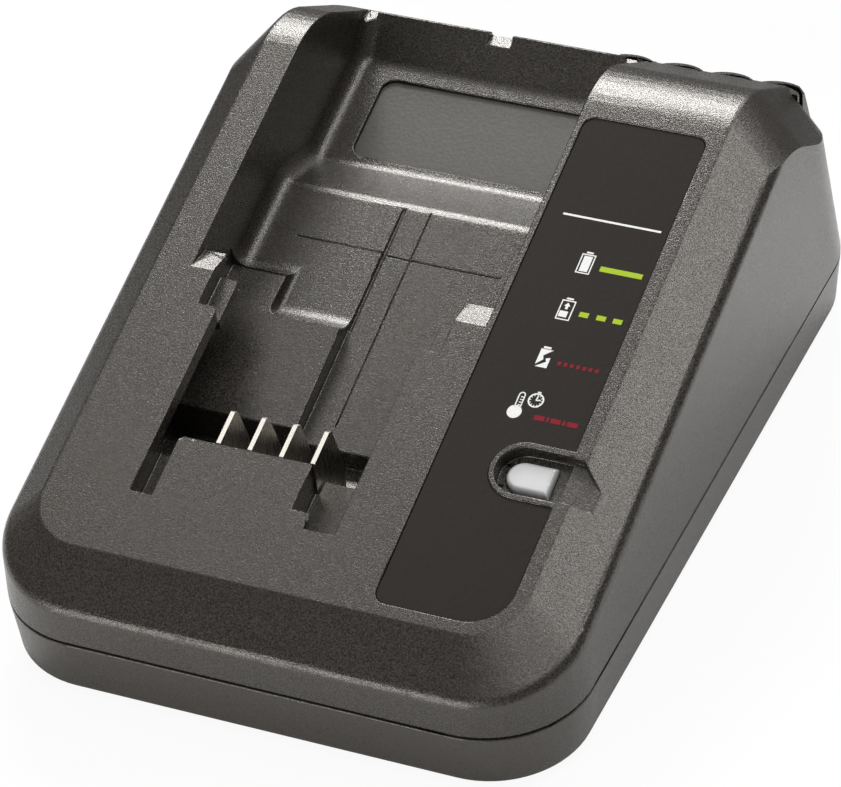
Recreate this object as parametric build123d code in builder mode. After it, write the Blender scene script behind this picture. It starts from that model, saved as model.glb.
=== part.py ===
from build123d import *
import os
from math import atan, cos, sin, tan

# Battery charger for slide-on tool batteries, in millimetres.
# Origin: on the floor, under the middle of the seam outline. +X right, +Y rear, +Z up.

os.makedirs("parts", exist_ok=True)

# ---------------------------------------------------------------- driving dimensions
WIDTH = 120.0                   # outline at the seam between the two housings
DEPTH = 175.8
SEAM_RADIUS = 20.3
HALF_W = WIDTH / 2
HALF_D = DEPTH / 2
WALL = 2.4

FOOT_HEIGHT = 1.5
BASE_Z = FOOT_HEIGHT            # underside of the lower housing
BASE_LEAN = 1.3                 # its walls lean in by this much at the bottom
BASE_TOP = BASE_Z + WALL
SEAM_Z = 14.0
SEAM_GAP = 0.6                  # open groove seen between the housings
TONGUE_Z = SEAM_Z + 1.8         # top of the tongue that centres the upper housing
TONGUE_INSET = 1.15

DECK_SLOPE = 0.30               # the deck climbs towards the rear
DECK_FRONT_Z = 26.1             # height of the deck plane at the front of the outline
BAND_DROP = 4.7                 # the sloping band falls this far from deck to crease
DECK_LEFT, DECK_RIGHT = -52.6, 48.3
DECK_FRONT = -76.9
DECK_RADIUS = 10.9
BAND_SIDE_L, BAND_SIDE_R, BAND_FRONT = 6.8, 11.1, 10.4
CREASE_RADIUS = 17.8

REAR_SLOPE = -0.62              # behind the crown the top falls away again
REAR_REF = (67.0, 57.2)         # a point (y, z) of the falling top plane
REAR_DROP = 11.1                # band height behind the crown
REAR_EDGE = 76.5                # rear edge of the falling top
REAR_BAND = 5.5
REAR_RADIUS = 4.0
CROWN_RADIUS = 22.0             # rounds the ridge between the two slopes
CROWN_STEPS = 8                 # tangent faces that make up the rounding
CAP_EDGE_RADIUS = 1.4
CREASE_EDGE_RADIUS = 3.0

BAY_LEFT, BAY_RIGHT = -44.9, 18.0
BAY_BACK = 75.0                 # the back wall leans out to this edge
BAY_BACK_FOOT = 68.0
LEDGE_THICK = 3.4               # rails that the battery slides under
LEDGE_L, LEDGE_R = -35.8, 7.0   # inner edges of the rails
LEDGE_REAR_L, LEDGE_REAR_R = -40.0, 11.4
LEDGE_NECK = -20.5              # the rails widen in front of this
LEDGE_END = -6.3
RAMP_START = -12.8
FLOOR_DEPTH = 19.3              # bay floor below the deck plane
SHELF_DEPTH = 28.4              # rear shelf below the deck plane
SHELF_START, SHELF_EDGE = 42.5, 27.5
PLATEAU_DEPTH = 16.0
PLATEAU_EDGE = -17.0
LIP_Y, LIP_STEP = 3.5, 0.6      # the floor's raised front edge and the step before it
LIP_RUN = 5.8                   # length of the curve from the floor up to that edge
RECESS_LEFT, RECESS_FRONT = -33.0, -6.0
FLOOR_FALL, FALL_START = 1.0, 25.5      # the floor's right half sinks towards the pit
PIT_FRONT, PIT_REAR, PIT_FLOOR = -49.5, -29.0, 19.5
PROFILE_RADIUS, SIDE_RADIUS = 4.5, 3.5      # rounding of the bay's floor and its corners
RECESS_RADIUS = 1.8             # the same for the left side of the recess in the plateau
PAD_DEPTH, PAD_THICK = 4.0, 2.2             # low pads beside the rails' necks
PAD_FRONT, PAD_REAR = LEDGE_NECK + 0.2, -10.4
CORNER_RADIUS = 1.3
HAIRLINE, HAIRLINE_DEEP = 0.15, 0.12        # the fine joint lines on the floor
GROOVE = 0.7                    # width of the groove beside the plateau

BLADE_FIRST, BLADE_PITCH, BLADE_THICK = -23.0, 6.62, 0.9
BLADE_HEEL = 10.4               # depth of the blades' heels inside the block
BLADE_NAMES = ("blade_positive", "blade_sense", "blade_thermistor", "blade_negative")
BLOCK_LEFT, BLOCK_RIGHT = -27.4, 1.2
BLOCK_FRONT, BLOCK_REAR = -57.5, -49.9
BLOCK_DEPTH = 9.2               # its top lies this far below the deck plane
SLOT_DEPTH_L, SLOT_DEPTH_R = 5.5, 7.2
TONGUE_LEFT, TONGUE_RIGHT = -31.2, -3.2     # the deck's tongue between the two slots
SLOT_FRONT, SLOT_REAR = -63.0, -46.7
SLOT_STEP_X, SLOT_STEP_Y = 0.9, -59.6

PANEL_LEFT, PANEL_RIGHT, PANEL_FRONT, PANEL_REAR = 19.4, 45.2, -74.3, 38.1
PANEL_DEEP, PANEL_THICK = 0.9, 0.6
LENS_X, LENS_Y = 38.0, -41.4
LENS_LEFT, LENS_RIGHT, LENS_HALF = 33.2, 42.7, 3.4
PAD_DEEP = 5.4                  # underside of the thick pad round the window
WINDOW_LEFT, WINDOW_HALF, WINDOW_RIM = 31.4, 5.3, 1.2
WINDOW_DEEP = 3.2
CHANNEL_HALF, CHANNEL_DEEP, CHANNEL_END = 5.0, 1.7, 53.5
CHANNEL_CORNER = 6.2            # size of the corner cut from its rear edge

PLATE_FRONT, PLATE_REAR, PLATE_LEFT, PLATE_RIGHT = 44.8, 64.6, -37.4, 8.8
PLATE_DEEP, PLATE_THICK = 1.5, 0.8

BOARD_Z, BOARD_THICK = 7.2, 1.6
BOARD_TOP = BOARD_Z + BOARD_THICK
BOARD_LEFT, BOARD_RIGHT, BOARD_FRONT, BOARD_REAR = -44.0, 44.0, -60.0, 70.0
BOARD_POSTS = ((-39.5, -30.0), (39.5, -54.0), (-39.5, 66.0), (40.0, 66.0))
BOARD_SCREW_R = 1.25
BOSSES = ((-50.5, -58.0), (50.5, -58.0), (-50.5, 62.0), (50.5, 62.0))
BOSS_RADIUS, COUNTERBORE_R, COUNTERBORE_TOP = 4.6, 3.2, 6.0
SCREW_R, SCREW_TOP = 1.5, 23.0
FEET = ((-44.0, -72.0), (44.0, -72.0), (-44.0, 72.0), (44.0, 72.0))
FOOT_RADIUS, FOOT_SUNK = 5.5, 0.8

CORD_X, CORD_Z, CORD_BORE = 30.0, 8.8, 3.0
BUSH_RADIUS, BUSH_FLANGE = 4.2, 4.9

VENT_X = (14.1, 24.9, 35.7, 46.5)
VENT_RADIUS = 6.2
VENT_LEFT, VENT_RIGHT = 10.8, 51.2
VENT_TOP_SLOPE = -0.30           # the lobes' tops fall less steeply than the roof

TOP = 90.0                      # above everything


def deck_z(y, drop=0.0):
    """Height of the deck plane at y, lowered by drop."""
    return DECK_FRONT_Z + DECK_SLOPE * (y + HALF_D) - drop


def rear_z(y, drop=0.0):
    """Height of the falling top plane behind the crown."""
    return REAR_REF[1] + REAR_SLOPE * (y - REAR_REF[0]) - drop


def sloped_plane(y, z, slope):
    """A plane through (0, y, z) that climbs along +Y, with its own x along +X."""
    return Plane(origin=(0, y, z), x_dir=(1, 0, 0), z_dir=(0, -slope, 1))


def rounded_outline(left, right, front, rear, r_front, r_rear, stretch=1.0):
    """Rounded rectangle in plan; stretch turns plan depths into lengths on a slope."""
    front, rear = front * stretch, rear * stretch
    with BuildSketch(Plane.XY) as outline:
        with BuildLine():
            Line((left + r_front, front), (right - r_front, front))
            RadiusArc((right - r_front, front), (right, front + r_front), -r_front)
            Line((right, front + r_front), (right, rear - r_rear))
            RadiusArc((right, rear - r_rear), (right - r_rear, rear), -r_rear)
            Line((right - r_rear, rear), (left + r_rear, rear))
            RadiusArc((left + r_rear, rear), (left, rear - r_rear), -r_rear)
            Line((left, rear - r_rear), (left, front + r_front))
            RadiusArc((left, front + r_front), (left + r_front, front), -r_front)
        make_face()
    return outline.sketch


def capped_body(cap_slope, through, cap, band, drop, radii, inset):
    """Everything below a sloping cap face with a sloping band round it.

    cap is (left, right, front, rear) in plan, band is how far the band spreads on each
    of those sides while it falls by drop, radii are the cap's and the band's corners.
    The cap's edges are rounded on the outer form only.
    """
    stretch = (1 + cap_slope ** 2) ** 0.5
    y0, z0 = through
    reach = 1.5                                     # the band runs on past the crease
    left, right, front, rear = cap
    grow = [b * reach for b in band]
    low_r = radii[0] + (radii[1] - radii[0]) * reach
    cap_plane = sloped_plane(y0, z0 - inset, cap_slope)
    low_plane = sloped_plane(y0, z0 - inset - drop * reach, cap_slope)
    cap_face = rounded_outline(left + inset, right - inset, front - y0 + inset,
                               rear - y0 - inset, radii[0], radii[0], stretch)
    low = (left - grow[0] + inset, right + grow[1] - inset,
           front - y0 - grow[2] + inset, rear - y0 + grow[3] - inset)
    low_face = rounded_outline(*low, low_r, low_r, stretch)
    flare = 40.0                                    # keeps the lower walls off the skirt
    floor_face = rounded_outline(low[0] - flare, low[1] + flare, low[2] + y0 - flare,
                                 low[3] + y0 + flare, low_r + flare, low_r + flare)
    with BuildPart() as body:
        with BuildSketch(Plane.XY.offset(-60)):
            add(floor_face)
        with BuildSketch(low_plane):
            add(low_face)
        with BuildSketch(cap_plane):
            add(cap_face)
        loft(ruled=True)
        if inset == 0:
            across = Axis((0, y0, z0), (0, -cap_slope, 1))
            fillet(body.faces().sort_by(across)[-1].edges(), CAP_EDGE_RADIUS)
    return body.part


def seam_outline(inset):
    """The plan outline at the seam, moved inwards by inset."""
    radius = SEAM_RADIUS - inset
    return rounded_outline(-HALF_W + inset, HALF_W - inset, -HALF_D + inset,
                           HALF_D - inset, radius, radius)


def crown_caps(inset):
    """Bodies whose caps touch the crown's arc, stepping from one slope to the other."""
    front_lift = CROWN_RADIUS * (1 + DECK_SLOPE ** 2) ** 0.5
    rear_lift = CROWN_RADIUS * (1 + REAR_SLOPE ** 2) ** 0.5
    y_mid = (rear_z(0, rear_lift) - deck_z(0, front_lift)) / (DECK_SLOPE - REAR_SLOPE)
    z_mid = deck_z(y_mid, front_lift)
    caps = []
    for step in range(1, CROWN_STEPS + 1):
        share = step / (CROWN_STEPS + 1)
        angle = atan(DECK_SLOPE) + (atan(REAR_SLOPE) - atan(DECK_SLOPE)) * share
        through = (y_mid - CROWN_RADIUS * sin(angle), z_mid + CROWN_RADIUS * cos(angle))
        drop = BAND_DROP + (REAR_DROP - BAND_DROP) * share
        caps.append(capped_body(tan(angle), through, (DECK_LEFT, DECK_RIGHT, -150.0, 150.0),
                                (BAND_SIDE_L, BAND_SIDE_R, 10.0, 10.0), drop, (6.0, 12.0),
                                inset))
    return caps


def envelope(inset):
    """The outer form of the upper housing, moved inwards by inset."""
    front_part = capped_body(
        DECK_SLOPE, (-HALF_D, DECK_FRONT_Z), (DECK_LEFT, DECK_RIGHT, DECK_FRONT, 130.0),
        (BAND_SIDE_L, BAND_SIDE_R, BAND_FRONT, 10.0), BAND_DROP,
        (DECK_RADIUS, CREASE_RADIUS), inset)
    rear_part = capped_body(
        REAR_SLOPE, REAR_REF, (DECK_LEFT, DECK_RIGHT, -140.0, REAR_EDGE),
        (BAND_SIDE_L, BAND_SIDE_R, 10.0, REAR_BAND), REAR_DROP, (REAR_RADIUS, 21.0), inset)
    with BuildPart() as form:
        with BuildSketch(Plane.XY.offset(SEAM_Z + SEAM_GAP / 2)):
            add(seam_outline(inset))
        with BuildSketch(Plane.XY.offset(72)):
            add(rounded_outline(-59.2 + inset, 59.2 - inset, -82.9 + inset,
                                74.0 - inset, 15.0 - inset, SEAM_RADIUS - inset))
        loft(ruled=True)
        for part in [front_part, rear_part] + crown_caps(inset):
            add(part, mode=Mode.INTERSECT)
    return form.part


def side_prism(points, x_from, x_to):
    """A prism along X whose side view is the polygon of (y, z) points."""
    with BuildPart() as prism:
        with BuildSketch(Plane.YZ.offset(x_from)):
            with BuildLine():
                Polyline(*points, close=True)
            make_face()
        extrude(amount=x_to - x_from)
    return prism.part


def below_deck(y_from, y_to, depth, x_from, x_to, lid=TOP):
    """A cut between two depths; depth and lid run parallel to the deck."""
    top = [(y_to, TOP), (y_from, TOP)]
    if lid != TOP:
        top = [(y_to, deck_z(y_to, lid)), (y_from, deck_z(y_from, lid))]
    floor = [(y_from, deck_z(y_from, depth)), (y_to, deck_z(y_to, depth))]
    return side_prism(floor + top, x_from, x_to)


def box_between(x, y, z):
    """A box between two limits on each axis."""
    with BuildPart() as box:
        with BuildSketch(Plane.XY.offset(z[0])):
            with Locations(((x[0] + x[1]) / 2, (y[0] + y[1]) / 2)):
                Rectangle(x[1] - x[0], y[1] - y[0])
        extrude(amount=z[1] - z[0])
    return box.part


def posts(places, radius, bottom, top):
    """Upright cylinders of one size at the given places."""
    with BuildPart() as cylinders:
        with BuildSketch(Plane.XY.offset(bottom)):
            with Locations(*places):
                Circle(radius)
        extrude(amount=top - bottom)
    return cylinders.part


# ---------------------------------------------------------------- upper housing: form
def on_front_crease(edge):
    """True for the long edges where the deck's band meets the upright walls."""
    ends = (edge.position_at(0), edge.position_at(1))
    near = all(abs(p.Z - deck_z(p.Y, BAND_DROP)) < 1.7 for p in ends)
    away = abs(edge.center().X) > 20 or edge.center().Y < DECK_FRONT
    return near and away and edge.length > 5 and edge.center().Z > SEAM_Z + 1


with BuildPart() as form:
    add(envelope(0.0))
    fillet([e for e in form.edges() if on_front_crease(e)], CREASE_EDGE_RADIUS)
inner = envelope(WALL)
core = envelope(WALL / 2)

# ---------------------------------------------------------------- bay for the battery
# A tub of wall thickness follows the bay floor and hangs from the deck.
tub_profile = [
    (-66.0, TOP), (-66.0, deck_z(-66, SLOT_DEPTH_R + WALL)),
    (-52.0, deck_z(-52, SLOT_DEPTH_R + WALL)), (-52.0, PIT_FLOOR - WALL),
    (PIT_REAR + WALL, PIT_FLOOR - WALL), (PIT_REAR + WALL, deck_z(PIT_REAR, 27.0)),
    (LIP_Y, deck_z(LIP_Y, 22.5)), (SHELF_EDGE + 2, deck_z(SHELF_EDGE + 2, FLOOR_DEPTH + 4.5)),
    (SHELF_START + 1, deck_z(SHELF_START + 1, SHELF_DEPTH + PLATE_DEEP + 1.6)),
    (BAY_BACK_FOOT + 1, deck_z(BAY_BACK_FOOT + 1, SHELF_DEPTH + PLATE_DEEP + 1.6)), (90.0, 46.0),
    (90.0, TOP)]
with BuildPart() as tub:
    add(side_prism(tub_profile, BAY_LEFT - WALL, BAY_RIGHT + WALL))
    add(core, mode=Mode.INTERSECT)


def right_floor(y):
    """Depth of the right half of the floor, in front of where it starts to sink."""
    return FLOOR_DEPTH + FLOOR_FALL * (FALL_START - y) / (FALL_START - PIT_REAR)


def bay_room(x_from, x_to, lip_y=None, side_radius=0.0, corner_radius=0.0):
    """The bay behind the rails between two x, open at the top.

    Its floor falls to the rear shelf. With lip_y it curves up to the lip at that y,
    otherwise it runs straight on to the front. side_radius rounds the foot of its left
    wall, corner_radius the upright corner at the left end of the lip.
    """
    start = (LIP_Y, deck_z(LIP_Y, right_floor(LIP_Y)))
    foot = (FALL_START, deck_z(FALL_START, FLOOR_DEPTH))
    if lip_y is not None:
        start = (lip_y, deck_z(lip_y, PLATEAU_DEPTH))
        foot = (lip_y + LIP_RUN, deck_z(lip_y + LIP_RUN, FLOOR_DEPTH))
    with BuildPart() as room:
        with BuildSketch(Plane.YZ.offset(x_from)):
            with BuildLine():
                if lip_y is None:
                    Line(start, foot)
                else:
                    TangentArc(foot, start, tangent=(-1, -DECK_SLOPE))
                FilletPolyline(foot, (SHELF_EDGE, deck_z(SHELF_EDGE, FLOOR_DEPTH)),
                               (SHELF_START, deck_z(SHELF_START, SHELF_DEPTH)),
                               (BAY_BACK_FOOT, deck_z(BAY_BACK_FOOT, SHELF_DEPTH)),
                               (BAY_BACK, rear_z(BAY_BACK)), radius=PROFILE_RADIUS)
                Polyline((BAY_BACK, rear_z(BAY_BACK)), (BAY_BACK + 3, TOP),
                         (start[0], TOP), start)
            make_face()
        extrude(amount=x_to - x_from)
        if corner_radius:
            fillet([e for e in room.edges() if is_upright_at(e, x_from, lip_y)], corner_radius)
        if side_radius:
            fillet([e for e in room.edges() if on_left_foot(e, x_from, lip_y)], side_radius)
    return room.part


def is_upright_at(edge, x, y):
    """True for the upright edge at that place in plan."""
    return abs(edge.center().X - x) + abs(edge.center().Y - y) < 0.01 and edge.length > 5


def on_left_foot(edge, x, lip_y):
    """True for the edges where a room's left wall meets its floor and its back."""
    middle = edge.center()
    along = abs(edge.position_at(0).X - x) + abs(edge.position_at(1).X - x) < 0.01
    return along and lip_y + 0.5 < middle.Y < BAY_BACK and middle.Z < rear_z(BAY_BACK)


plateau_cut = side_prism(
    [(PIT_REAR, deck_z(PIT_REAR, PLATEAU_DEPTH + 1)),
     (RECESS_FRONT, deck_z(RECESS_FRONT, PLATEAU_DEPTH)),
     (LIP_Y + 0.2, deck_z(LIP_Y, PLATEAU_DEPTH + LIP_STEP)),
     (LIP_Y + 0.2, deck_z(LIP_Y, LEDGE_THICK)), (PIT_REAR, deck_z(PIT_REAR, LEDGE_THICK))],
    BAY_LEFT, PLATEAU_EDGE)
right_floor_cut = side_prism(
    [(PIT_REAR, deck_z(PIT_REAR, right_floor(PIT_REAR))),
     (LIP_Y + 1, deck_z(LIP_Y + 1, right_floor(LIP_Y + 1))),
     (LIP_Y + 1, deck_z(LIP_Y, LEDGE_THICK)), (PIT_REAR, deck_z(PIT_REAR, LEDGE_THICK))],
    PLATEAU_EDGE, BAY_RIGHT)


def pit(y_front, x_from, x_to):
    """The deep pocket round the contact blades, below the rails."""
    return side_prism(
        [(y_front, PIT_FLOOR), (PIT_REAR, PIT_FLOOR), (PIT_REAR, deck_z(PIT_REAR, LEDGE_THICK)),
         (y_front, deck_z(y_front, LEDGE_THICK))], x_from, x_to)


# The mouth in the deck, seen from above, from the left rail round to the right one.
MOUTH = [(BAY_LEFT, LIP_Y + 1), (BAY_RIGHT, LIP_Y + 1), (BAY_RIGHT, LEDGE_END),
         (LEDGE_REAR_R, LEDGE_END), (LEDGE_REAR_R, LEDGE_NECK), (LEDGE_R, LEDGE_NECK),
         (LEDGE_R, SLOT_FRONT), (SLOT_STEP_X, SLOT_FRONT), (SLOT_STEP_X, SLOT_STEP_Y),
         (TONGUE_RIGHT, SLOT_STEP_Y), (TONGUE_RIGHT, PIT_FRONT), (TONGUE_LEFT, PIT_FRONT),
         (TONGUE_LEFT, SLOT_FRONT), (LEDGE_L, SLOT_FRONT), (LEDGE_L, LEDGE_NECK),
         (LEDGE_REAR_L, LEDGE_NECK), (LEDGE_REAR_L, LEDGE_END), (BAY_LEFT, LEDGE_END)]
ROUNDED = [(LEDGE_REAR_R, LEDGE_END), (LEDGE_R, LEDGE_NECK), (SLOT_STEP_X, SLOT_STEP_Y),
           (TONGUE_LEFT, PIT_FRONT), (LEDGE_L, LEDGE_NECK), (LEDGE_REAR_L, LEDGE_END)]


def is_rounded(vertex):
    """True for the corners of the mouth that are rounded."""
    return any(abs(vertex.X - x) + abs(vertex.Y - y) < 0.01 for x, y in ROUNDED)


with BuildPart() as mouth:
    with BuildSketch(Plane.XY.offset(10)) as mouth_outline:
        with BuildLine():
            Polyline(*MOUTH, close=True)
        make_face()
        fillet([v for v in mouth_outline.vertices() if is_rounded(v)], CORNER_RADIUS)
    extrude(amount=TOP - 10)
with BuildPart() as mouth_cut:
    add(below_deck(PIT_FRONT, LIP_Y + 2, LEDGE_THICK + 0.5, -50, 25))
    add(below_deck(-64, PIT_FRONT + 0.1, SLOT_DEPTH_L, -38, -29))
    add(below_deck(-64, SLOT_REAR, SLOT_DEPTH_R, -5, 8))
    add(mouth, mode=Mode.INTERSECT)

ramp_profile = [(RAMP_START, TOP), (RAMP_START, deck_z(RAMP_START)),
                (LEDGE_END, deck_z(LEDGE_END, 2.6)), (LEDGE_END, TOP)]
block_opening = side_prism(
    [(BLOCK_FRONT - 1, 10), (PIT_FRONT, 10), (PIT_FRONT, deck_z(PIT_FRONT, BLOCK_DEPTH - 0.1)),
     (BLOCK_FRONT - 1, deck_z(BLOCK_FRONT - 1, BLOCK_DEPTH - 0.1))],
    BLOCK_LEFT - 0.1, BLOCK_RIGHT + 0.1)


def rail_pad(x_wall, x_root, x_tip):
    """A low pad beside a rail's neck; between wall and root it joins the rail above."""
    with BuildPart() as pad:
        add(below_deck(PAD_FRONT, PAD_REAR, PAD_DEPTH + PAD_THICK, *sorted((x_wall, x_tip)),
                       lid=PAD_DEPTH))
        inner_corner = [e for e in pad.edges() if abs(e.center().X - x_tip) < 0.01
                        and abs(e.center().Y - PAD_REAR) < 0.01]
        fillet(inner_corner, CORNER_RADIUS)
        add(below_deck(LEDGE_NECK - 1, PAD_REAR, PAD_DEPTH + PAD_THICK,
                       *sorted((x_wall, x_root)), lid=LEDGE_THICK - 0.1))
    return pad.part


def floor_line(y_from, y_to, x_from, x_to, deep=HAIRLINE_DEEP):
    """A fine groove in the right half of the floor, at least as deep as it is there."""
    points = [(y_from, deck_z(y_from, right_floor(y_from) + deep)),
              (y_to, deck_z(y_to, right_floor(y_to) + deep)),
              (y_to, deck_z(y_to, FLOOR_DEPTH - 1)), (y_from, deck_z(y_from, FLOOR_DEPTH - 1))]
    return side_prism(points, x_from, x_to)


floor_lines = [floor_line(-24.0, SHELF_EDGE - 1, -11.0, -11.0 + HAIRLINE),
               floor_line(RECESS_FRONT + 3, SHELF_EDGE - 1, PLATEAU_EDGE, PLATEAU_EDGE + GROOVE, 0.6),
               floor_line(15.1, 15.1 + HAIRLINE, PLATEAU_EDGE + GROOVE + 0.3, 8.6),
               floor_line(15.5, 15.5 + HAIRLINE, -36.0, PLATEAU_EDGE - 0.3)]

deck_plane = sloped_plane(-HALF_D, DECK_FRONT_Z, DECK_SLOPE)
deck_stretch = (1 + DECK_SLOPE ** 2) ** 0.5


def on_deck(y):
    """Distance up the deck plane, from its origin, of a plan depth y."""
    return (y + HALF_D) * deck_stretch


def panel_outline(gap):
    """The dark panel's outline on the deck plane, shrunk by gap."""
    left, right = PANEL_LEFT + gap, PANEL_RIGHT - gap
    front, rear = on_deck(PANEL_FRONT) + gap, on_deck(PANEL_REAR) - gap
    small, big = 2.6, 8.5
    with BuildSketch(Plane.XY) as outline:
        with BuildLine():
            Line((left + small, front), (right - big, front))
            RadiusArc((right - big, front), (right, front + big), -big)
            Line((right, front + big), (right, rear - small))
            RadiusArc((right, rear - small), (right - small, rear), -small)
            Line((right - small, rear), (left + small, rear))
            RadiusArc((left + small, rear), (left, rear - small), -small)
            Line((left, rear - small), (left, front + small))
            RadiusArc((left, front + small), (left + small, front), -small)
        make_face()
    return outline.sketch


def window_outline(left, half, right):
    """A bar across the deck with a half-round left end."""
    middle = on_deck(LENS_Y)
    with BuildSketch(Plane.XY) as outline:
        with BuildLine():
            Line((right, middle - half), (left + half, middle - half))
            ThreePointArc((left + half, middle - half), (left, middle),
                          (left + half, middle + half))
            Line((left + half, middle + half), (right, middle + half))
            Line((right, middle + half), (right, middle - half))
        make_face()
    return outline.sketch


def channel_outline():
    """The open way from the window across the band, with one corner cut away."""
    front, rear = on_deck(LENS_Y) - CHANNEL_HALF, on_deck(LENS_Y) + CHANNEL_HALF
    with BuildSketch(Plane.XY) as outline:
        with BuildLine():
            Polyline((LENS_X, front), (CHANNEL_END, front), (CHANNEL_END, rear - CHANNEL_CORNER),
                     (CHANNEL_END - CHANNEL_CORNER, rear), (LENS_X, rear), close=True)
        make_face()
    return outline.sketch


plate_plane = sloped_plane(-HALF_D, DECK_FRONT_Z - SHELF_DEPTH, DECK_SLOPE)


def plate_outline(gap):
    """Rounded outline of the plate on the rear shelf."""
    middle = (on_deck(PLATE_FRONT) + on_deck(PLATE_REAR)) / 2
    with BuildSketch(Plane.XY) as outline:
        with Locations(((PLATE_LEFT + PLATE_RIGHT) / 2, middle)):
            RectangleRounded(PLATE_RIGHT - PLATE_LEFT - 2 * gap,
                             (PLATE_REAR - PLATE_FRONT) * deck_stretch - 2 * gap, 3.0)
    return outline.sketch


def deck_slab(outline, top, bottom):
    """A slab under the deck plane between two depths measured square to it."""
    with BuildPart() as slab:
        with BuildSketch(deck_plane.offset(-bottom)):
            add(outline)
        extrude(amount=bottom - top)
    return slab.part


with BuildPart() as bay_cut:
    add(bay_room(BAY_LEFT, PLATEAU_EDGE, LIP_Y, SIDE_RADIUS))
    add(bay_room(RECESS_LEFT, PLATEAU_EDGE, RECESS_FRONT, RECESS_RADIUS, RECESS_RADIUS))
    add(bay_room(PLATEAU_EDGE, BAY_RIGHT))
    add(pit(PIT_FRONT, BAY_LEFT, TONGUE_RIGHT + 0.7))
    add(pit(SLOT_REAR, TONGUE_RIGHT + 0.7, BAY_RIGHT))
    for piece in [plateau_cut, right_floor_cut, mouth_cut] + floor_lines:
        add(piece)
    add(side_prism(ramp_profile, BAY_LEFT, LEDGE_REAR_L))
    add(side_prism(ramp_profile, LEDGE_REAR_R, BAY_RIGHT))
    add(rail_pad(BAY_LEFT - 1, LEDGE_REAR_L, LEDGE_REAR_L + 4.0), mode=Mode.SUBTRACT)
    add(rail_pad(BAY_RIGHT + 1, LEDGE_REAR_R, LEDGE_REAR_R - 3.9), mode=Mode.SUBTRACT)


# ---------------------------------------------------------------- recesses in the deck
with BuildPart() as panel_recess:
    add(deck_slab(panel_outline(0.0), -1.0, PANEL_DEEP))
    add(deck_slab(window_outline(WINDOW_LEFT - WINDOW_RIM, WINDOW_HALF + WINDOW_RIM, 50.0),
                  -2.0, PANEL_DEEP + 1), mode=Mode.SUBTRACT)
window_recess = deck_slab(window_outline(WINDOW_LEFT, WINDOW_HALF, PANEL_RIGHT), -1.0,
                          WINDOW_DEEP)
channel = deck_slab(channel_outline(), -1.0, CHANNEL_DEEP)
lens_hole = deck_slab(window_outline(LENS_LEFT, LENS_HALF, LENS_RIGHT), 0.0, PAD_DEEP + 2)
with BuildPart() as window_pad:
    add(deck_slab(window_outline(WINDOW_LEFT - 2.0, WINDOW_HALF + 2.0, 53.0), 1.0, PAD_DEEP))
    add(core, mode=Mode.INTERSECT)
with BuildPart() as plate_recess:
    with BuildSketch(plate_plane):
        add(plate_outline(0.0))
    extrude(amount=PLATE_DEEP, both=True)

# ---------------------------------------------------------------- rim behind the bay
rim_notches = [
    box_between((-17.6, -12.4), (72.0, 79.0), (rear_z(BAY_BACK, 2.0), TOP)),
    box_between((BAY_LEFT - 0.5, -42.8), (72.0, 79.0), (rear_z(BAY_BACK, 0.9), TOP)),
    box_between((12.8, 15.4), (72.0, 79.0), (rear_z(BAY_BACK, 0.9), TOP))]


def vent_top(y):
    """Height of the lobes' tops."""
    return rear_z(REAR_EDGE + 1.4) + 0.45 + VENT_TOP_SLOPE * (y - REAR_EDGE - 1.4)


# Flutes bulge out of the rear wall behind the column, each with a crescent vent on top.
FLUTE_FOOT, FLUTE_LEAN = 40.0, 0.36
with BuildPart() as vent_lobes:
    for z in (FLUTE_FOOT, rear_z(REAR_EDGE) + 3):
        with BuildSketch(Plane.XY.offset(z)):
            flute_y = REAR_EDGE + 1.4 - VENT_RADIUS + FLUTE_LEAN * (rear_z(REAR_EDGE) - z)
            with Locations(*[(x, flute_y) for x in VENT_X]):
                Circle(VENT_RADIUS)
    loft(ruled=True)
    add(side_prism([(72, 20), (90, 20), (90, vent_top(90)), (72, vent_top(72))], VENT_LEFT,
                   VENT_RIGHT), mode=Mode.INTERSECT)
    add(capped_body(REAR_SLOPE, (REAR_REF[0], REAR_REF[1] + 1.6),
                    (DECK_LEFT, DECK_RIGHT, -140.0, REAR_EDGE + 12),
                    (BAND_SIDE_L, BAND_SIDE_R, 10.0, REAR_BAND), REAR_DROP, (REAR_RADIUS, 21.0), 0.01),
        mode=Mode.INTERSECT)
with BuildPart() as vent_openings:
    with BuildSketch(Plane.XY.offset(40)):
        with Locations(*[(x + 0.8, REAR_EDGE - 4.15) for x in VENT_X]):
            Circle(4.6)
        with Locations(*[(x - 0.4, REAR_EDGE - 6.9) for x in VENT_X]):
            Circle(6.0, mode=Mode.SUBTRACT)
        with Locations((0, REAR_EDGE)):
            Rectangle(2 * VENT_LEFT + 3.0, 20.0, mode=Mode.SUBTRACT)
    extrude(amount=30)
# The roof falls away more steeply between the lobes.
rear_chamfer = side_prism(
    [(REAR_EDGE - 2, rear_z(REAR_EDGE - 2)), (REAR_EDGE + 1, rear_z(REAR_EDGE - 2) - 3.0),
     (90, rear_z(REAR_EDGE - 2) - 3.0), (90, TOP), (REAR_EDGE - 2, TOP)], BAY_RIGHT + 1, 60)

# ---------------------------------------------------------------- upper housing
with BuildPart() as upper_bosses:
    add(posts(BOSSES, SCREW_R + 1.8, TONGUE_Z, TOP))
    add(core, mode=Mode.INTERSECT)
with BuildPart() as tongue_rebate:
    with BuildSketch(Plane.XY.offset(SEAM_Z - 1)):
        add(seam_outline(TONGUE_INSET - 0.1))
    extrude(amount=TONGUE_Z - SEAM_Z + 1)

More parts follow.
